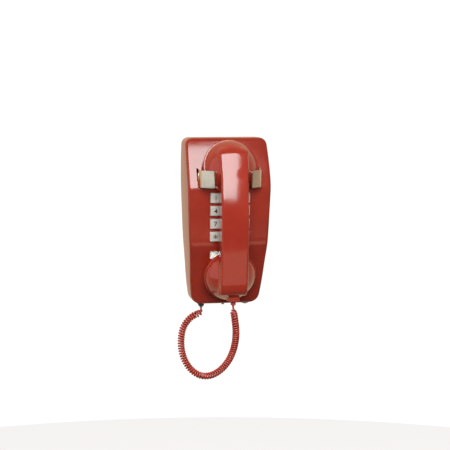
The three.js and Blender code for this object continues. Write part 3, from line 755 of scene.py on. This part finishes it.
OUTER = [(77, 97.6), (81.5, 95.6), (84.8, 92.2), (86.9, 87.5), (89, 80.5), (92.5, 66), (95.2, 52.5), (97.4, 36.5), (98.6, 24), (99, 12), (99, -10), (97.8, -32), (95.6, -52), (93.2, -68), (91.2, -79), (88.6, -86), (84.5, -90.6), (79, -92.6)]
INNER = [(71, -86), (70, -68), (72, -54), (75.5, -40), (77.5, -20), (78.3, 0), (78.2, 20), (77.2, 38), (75, 53), (74, 66), (74, 88)]
outer_s, _ = resample(OUTER, 110)
inner_s, _ = resample(INNER, 70)
handle_poly = np.vstack([outer_s, inner_s])
HANDLE_FIELD = Field2D(handle_poly, (55, -120), (115, 120), 0.5)


def cup_field(r):
    prof = [(0, 22.5), (r - 24, 22.5), (r - 18.5, 21.4), (r - 13.4, 18.4), (r - 9.2, 14), (r - 5.6, 9.2), (r - 3.2, 5.2), (r - 2.2, 2.4), (r - 1.9, 0.4)]
    s_, _ = resample(prof[1:], 60)
    right_side = np.vstack([s_, [[r - 2.1, 0.0]]])
    left_side = right_side[::-1] * np.array([-1, 1])
    return Field2D(np.vstack([right_side, left_side]), (-45, -12), (45, 40), 0.4)


CUPS = [(RECEIVER_AT, 1, cup_field(CAP_R), CAP_R), (TRANSMITTER_AT, -1, cup_field(MOUTH_CAP_R), MOUTH_CAP_R)]


def handset_sdf(P):
    x, d, z = P[:, 0], -P[:, 1], P[:, 2]
    rr = 2.4
    w = HANDLE_HALF_W + 0.35 * np.clip((np.abs(z) - 60) / 40, 0, 1)
    f2 = HANDLE_FIELD(d + 0.7 * (x / HANDLE_HALF_W) ** 2, z)
    qx, qy = f2 + rr, np.abs(x) - w + rr
    h = np.hypot(np.maximum(qx, 0), np.maximum(qy, 0)) + np.minimum(np.maximum(qx, qy), 0) - rr
    out = h
    for at, sgn, field, r in CUPS:
        ax = np.array((0, -math.cos(CAP_TILT), sgn * math.sin(CAP_TILT)))
        q = P - np.array(at, float)
        hh = q @ ax
        rho = np.linalg.norm(q - hh[:, None] * ax, axis=1)
        cup = field(rho, hh)
        out = smin(out, cup, 5.0)
        out = np.where(rho < 44, -smin(-out, hh, 0.9), out)  # nothing below the cap's seat
    # boss for the cord socket
    b = np.abs(P - np.array((2.0, -71, -89.8))) - np.array((7.5, 7.0, 11.7)) + 2.0
    boss = np.linalg.norm(np.maximum(b, 0), axis=1) + np.minimum(b.max(1), 0) - 2.0
    out = smin(out, boss, 3.0)
    # pockets for the capsules and the cord socket
    for at, sgn, field, r in CUPS:
        ax = np.array((0, -math.cos(CAP_TILT), sgn * math.sin(CAP_TILT)))
        q = P - np.array(at, float)
        hh = q @ ax
        rho = np.linalg.norm(q - hh[:, None] * ax, axis=1)
        pocket = np.maximum(np.maximum(rho - 27.1, hh - 10.0), (rho - 27.1 + 2.09 * (hh - 6.6)) / 2.32)
        out = np.maximum(out, -pocket)
    b = np.abs(P - np.array((2.0, -71, -97.0))) - np.array((5.7, 4.2, 13.0))
    out = np.maximum(out, -b.max(1))
    return out


def surface_nets(f, lo, hi, step, relax=3):
    ax = [np.arange(lo[k], hi[k] + step, step) for k in range(3)]
    G = np.stack(np.meshgrid(*ax, indexing="ij"), -1)
    shp = G.shape[:3]
    V = f(G.reshape(-1, 3)).reshape(shp)
    S = V < 0
    cnt = np.zeros(tuple(n - 1 for n in shp), int)
    for a in (0, 1):
        for b in (0, 1):
            for c_ in (0, 1):
                cnt += S[a:shp[0] - 1 + a, b:shp[1] - 1 + b, c_:shp[2] - 1 + c_]
    act = (cnt > 0) & (cnt < 8)
    idx = np.full(act.shape, -1)
    idx[act] = np.arange(act.sum())
    acc = np.zeros(act.shape + (3,))
    num = np.zeros(act.shape)
    for d in range(3):
        e = [(a, b) for a in (0, 1) for b in (0, 1)]
        for a, b in e:
            o = [0, 0, 0]
            others = [k for k in range(3) if k != d]
            o[others[0]], o[others[1]] = a, b
            sl0 = tuple(slice(o[k], shp[k] - 1 + o[k]) for k in range(3))
            o2 = list(o)
            o2[d] = 1
            sl1 = tuple(slice(o2[k], shp[k] - 1 + o2[k]) for k in range(3))
            v0, v1 = V[sl0], V[sl1]
            cross = (v0 < 0) != (v1 < 0)
            t = np.where(cross, v0 / np.where(cross, v0 - v1, 1), 0)
            p = G[sl0] + t[..., None] * (G[sl1] - G[sl0])
            acc += np.where(cross[..., None], p, 0)
            num += cross
    verts = acc[act] / num[act][:, None]
    faces = []
    for d in range(3):
        o = [k for k in range(3) if k != d]
        sl0, sl1 = [slice(None)] * 3, [slice(None)] * 3
        sl0[d], sl1[d] = slice(0, -1), slice(1, None)
        a, b = S[tuple(sl0)], S[tuple(sl1)]
        ch = a != b
        I = np.argwhere(ch)
        ok = (I[:, o[0]] > 0) & (I[:, o[1]] > 0) & (I[:, o[0]] < act.shape[o[0]]) & (I[:, o[1]] < act.shape[o[1]])
        I = I[ok]
        sign = a[tuple(I.T)]

        def cell(da, db):
            J = I.copy()
            J[:, o[0]] += da
            J[:, o[1]] += db
            return idx[tuple(J.T)]

        q = np.stack([cell(-1, -1), cell(0, -1), cell(0, 0), cell(-1, 0)], 1)
        flip = sign if d != 1 else ~sign
        q[~flip] = q[~flip][:, ::-1]
        faces.append(q)
    faces = np.concatenate(faces)
    # slide the points along the surface to even them out, and put them back on it
    e = np.concatenate([faces[:, [0, 1]], faces[:, [1, 2]], faces[:, [2, 3]], faces[:, [3, 0]]])
    e = np.unique(np.sort(e, 1), axis=0)
    deg = np.bincount(e.ravel(), minlength=len(verts))[:, None]

    def grad(P):
        h = 0.05
        return np.stack([(f(P + np.eye(3)[k] * h) - f(P - np.eye(3)[k] * h)) / (2 * h) for k in range(3)], 1)

    def project(P):
        for _ in range(2):
            g = grad(P)
            n2 = np.maximum((g**2).sum(1), 0.05)
            step_ = np.clip(f(P) / n2, -step, step)
            P = P - step_[:, None] * g
        return P

    for _ in range(relax):
        m = np.zeros_like(verts)
        np.add.at(m, e[:, 0], verts[e[:, 1]])
        np.add.at(m, e[:, 1], verts[e[:, 0]])
        g = grad(verts)
        g /= np.maximum(np.linalg.norm(g, axis=1), 1e-6)[:, None]
        mv = m / deg - verts
        mv -= (mv * g).sum(1)[:, None] * g
        verts = project(verts + 0.5 * mv)
    # ease out the few folded faces on the outside
    for _ in range(14):
        n = np.cross(verts[faces[:, 2]] - verts[faces[:, 0]], verts[faces[:, 3]] - verts[faces[:, 1]])
        n /= np.maximum(np.linalg.norm(n, axis=1), 1e-9)[:, None]
        mid = verts[faces].mean(1)
        g = grad(mid)
        g /= np.maximum(np.linalg.norm(g, axis=1), 1e-6)[:, None]
        d = (n * g).sum(1)
        d = d * np.sign(np.median(d))
        bad = (d < 0.86) & (mid[:, 1] < -69)
        if not bad.any():
            break
        pick = np.zeros(len(verts), bool)
        pick[faces[bad].ravel()] = True
        pick[e[pick[e[:, 0]], 1]] = True
        m = np.zeros_like(verts)
        np.add.at(m, e[:, 0], verts[e[:, 1]])
        np.add.at(m, e[:, 1], verts[e[:, 0]])
        verts = np.where(pick[:, None], 0.3 * verts + 0.7 * m / deg, verts)
        verts = np.where(pick[:, None], project(verts), verts)
    return verts, faces


hv, hf = surface_nets(handset_sdf, (-36, -110, -110), (36, -40, 112), 1.6)
handset = make("handset_shell", hv, hf)
outward(handset)
soften(handset, 50)
hn = np.stack([handset_sdf(hv + np.eye(3)[k] * 0.8) - handset_sdf(hv - np.eye(3)[k] * 0.8) for k in range(3)], 1)
hn /= np.maximum(np.linalg.norm(hn, axis=1), 1e-9)[:, None]
handset.data.normals_split_custom_set_from_vertices([tuple(v) for v in hn])
place(handset, "handset", RED_HANDSET, "shell", "handset_body")


def cap_piece(name, r, at, sgn):
    ax = (0, -math.cos(CAP_TILT), sgn * math.sin(CAP_TILT))
    m = toward(ax, at)
    prof = [(0, -9.2), (6, -9.25), (16, -9.45), (r - 9, -9.5), (r - 7, -9.35), (r - 4.2, -8.6), (r - 2.0, -7.2), (r - 0.6, -5.2), (r, -2.9), (r, -1.4), (r - 0.15, -0.8), (r - 0.6, -0.45), (r - 1.3, -0.35), (27.6, -0.35), (27.6, -6.8), (0, -6.8)]
    ob = lathe(name, prof, m, 112)
    for ring, cnt in ((0, 1), (6.5, 6), (12.5, 12)):
        for i in range(cnt):
            a = 2 * math.pi * i / cnt
            cx, cy = ring * math.cos(a), ring * math.sin(a)
            boolean(ob, prism("hole", [(cx + 1.15 * math.cos(b), cy + 1.15 * math.sin(b)) for b in np.linspace(0, 2 * math.pi, 12, endpoint=False)], -12, -5, m))
    return soften(ob, 40)


place(cap_piece("earpiece_cap", CAP_R, RECEIVER_AT, 1), "handset", RED_HANDSET, "shell", "receiver_cap")
place(cap_piece("mouthpiece_cap", MOUTH_CAP_R, TRANSMITTER_AT, -1), "handset", RED_HANDSET, "shell", "transmitter_cap")

# ------------------------------------------------------------------ finishes on the carried-over frame pieces
FINISH = {
    "base_plate": STEEL, "wall_plug_block": GREY, "keypad_frame": BLACK, "keypad_mat": RUBBER, "keypad_board": BOARD, "hook_pivot_pin": STEEL, "hook_bracket": STEEL, "hookswitch_block": GREY,
    "hook_spring": STEEL, "ringer_frame": STEEL, "gong_high": BRASS, "gong_low": BRASS, "gong_screw_left": STEEL, "gong_screw_right": STEEL, "ringer_coil": WINDING, "clapper": BRASS,
    "ringer_volume_wheel": GREY, "volume_wheel_post": STEEL, "network_board": BOARD, "network_transformer": WINDING, "network_capacitor": GREY, "line_terminal_block": BLACK,
    "hookswitch_leads_clip": BLACK, "base_cord_jack": BLACK, "closing_screw": STEEL, "receiver_capsule": STEEL, "transmitter_capsule": STEEL, "transmitter_cup": BLACK,
    "handset_cord_jack": BLACK, "handset_cord_plug": CORDM, "base_cord_plug": BLACK,
}
for n, m in FINISH.items():
    dress(NODES[n], m)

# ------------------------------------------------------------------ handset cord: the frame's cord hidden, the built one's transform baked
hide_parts("handset_cord")
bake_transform(cord)

# ------------------------------------------------------------------ stage and light
floor = make("floor", [(2300 * math.cos(a), 2300 * math.sin(a), -900) for a in np.linspace(0, 2 * math.pi, 96, endpoint=False)], [list(range(96))])
fl = Mat("pale_floor")
fl.colour(fl.ramp(fl.noise(3, 2), [(0.3, (0.22, 0.235, 0.25)), (0.7, (0.24, 0.255, 0.27))]))
fl.set(Roughness=0.9, Emission_Color=(1, 1, 1, 1), Emission_Strength=0.80)
dress(floor, fl.m)
floor.visible_glossy = floor.visible_diffuse = False

world = bpy.data.worlds.new("studio")
scene.world = world
world.use_nodes = True
wt = world.node_tree
bg = wt.nodes["Background"]
bg.inputs["Strength"].default_value = 1.0
# a bright sweep behind the phone and a dim room in front of it
wco = wt.nodes.new("ShaderNodeTexCoord")
wsep = wt.nodes.new("ShaderNodeSeparateXYZ")
wt.links.new(wco.outputs["Generated"], wsep.inputs[0])
wramp = wt.nodes.new("ShaderNodeValToRGB")
wmap = wt.nodes.new("ShaderNodeMapRange")
wmap.inputs[1].default_value, wmap.inputs[2].default_value = -1.0, 1.0
wt.links.new(wsep.outputs["Y"], wmap.inputs[0])
wt.links.new(wmap.outputs[0], wramp.inputs["Fac"])
el = wramp.color_ramp.elements
el[0].position, el[0].color = 0.46, (0.10, 0.095, 0.09, 1)
el[1].position, el[1].color = 0.72, (0.76, 0.545, 0.375, 1)
wt.links.new(wramp.outputs["Color"], bg.inputs["Color"])
white = wt.nodes.new("ShaderNodeBackground")
white.inputs["Color"].default_value = (1, 1, 1, 1)
white.inputs["Strength"].default_value = 1.05
lp = wt.nodes.new("ShaderNodeLightPath")
mixw = wt.nodes.new("ShaderNodeMixShader")
wt.links.new(lp.outputs["Is Camera Ray"], mixw.inputs[0])
wt.links.new(bg.outputs[0], mixw.inputs[1])
wt.links.new(white.outputs[0], mixw.inputs[2])
wt.links.new(mixw.outputs[0], wt.nodes["World Output"].inputs["Surface"])


def softbox(name, at, aim, size, power, colour=(1, 1, 1)):
    ld = bpy.data.lights.new(name, "AREA")
    ld.shape, ld.size, ld.size_y, ld.energy, ld.color = "RECTANGLE", size[0], size[1], power, colour
    ob = bpy.data.objects.new(name, ld)
    scene.collection.objects.link(ob)
    ob.location = at
    ob.rotation_euler = (Vector(aim) - Vector(at)).to_track_quat("-Z", "Y").to_euler()
    return ob


key = softbox("key_softbox", (-0.2, -1.5, 0.80), (0, 0, 0.03), (0.9, 1.30), 28)
key.visible_glossy = False
# the same window as the gloss sees it: taller, and a faint bounce low in front
sheen = softbox("gloss_window", (-0.085, -1.55, 0.97), (0, -0.05, 0.06), (1.05, 1.56), 44, (0.82, 1.0, 1.0))
sheen.visible_diffuse = False
low = softbox("low_bounce", (0.0, -1.62, -0.75), (0, -0.09, -0.03), (1.7, 0.50), 2.0, (1.0, 0.82, 0.62))
low.visible_diffuse = False
softbox("left_fill", (-1.9, -0.3, 0.35), (0, 0, 0), (1.2, 1.8), 4.5)

scene.view_settings.view_transform = "Standard"
scene.view_settings.look = "None"
scene.view_settings.exposure = 0.0
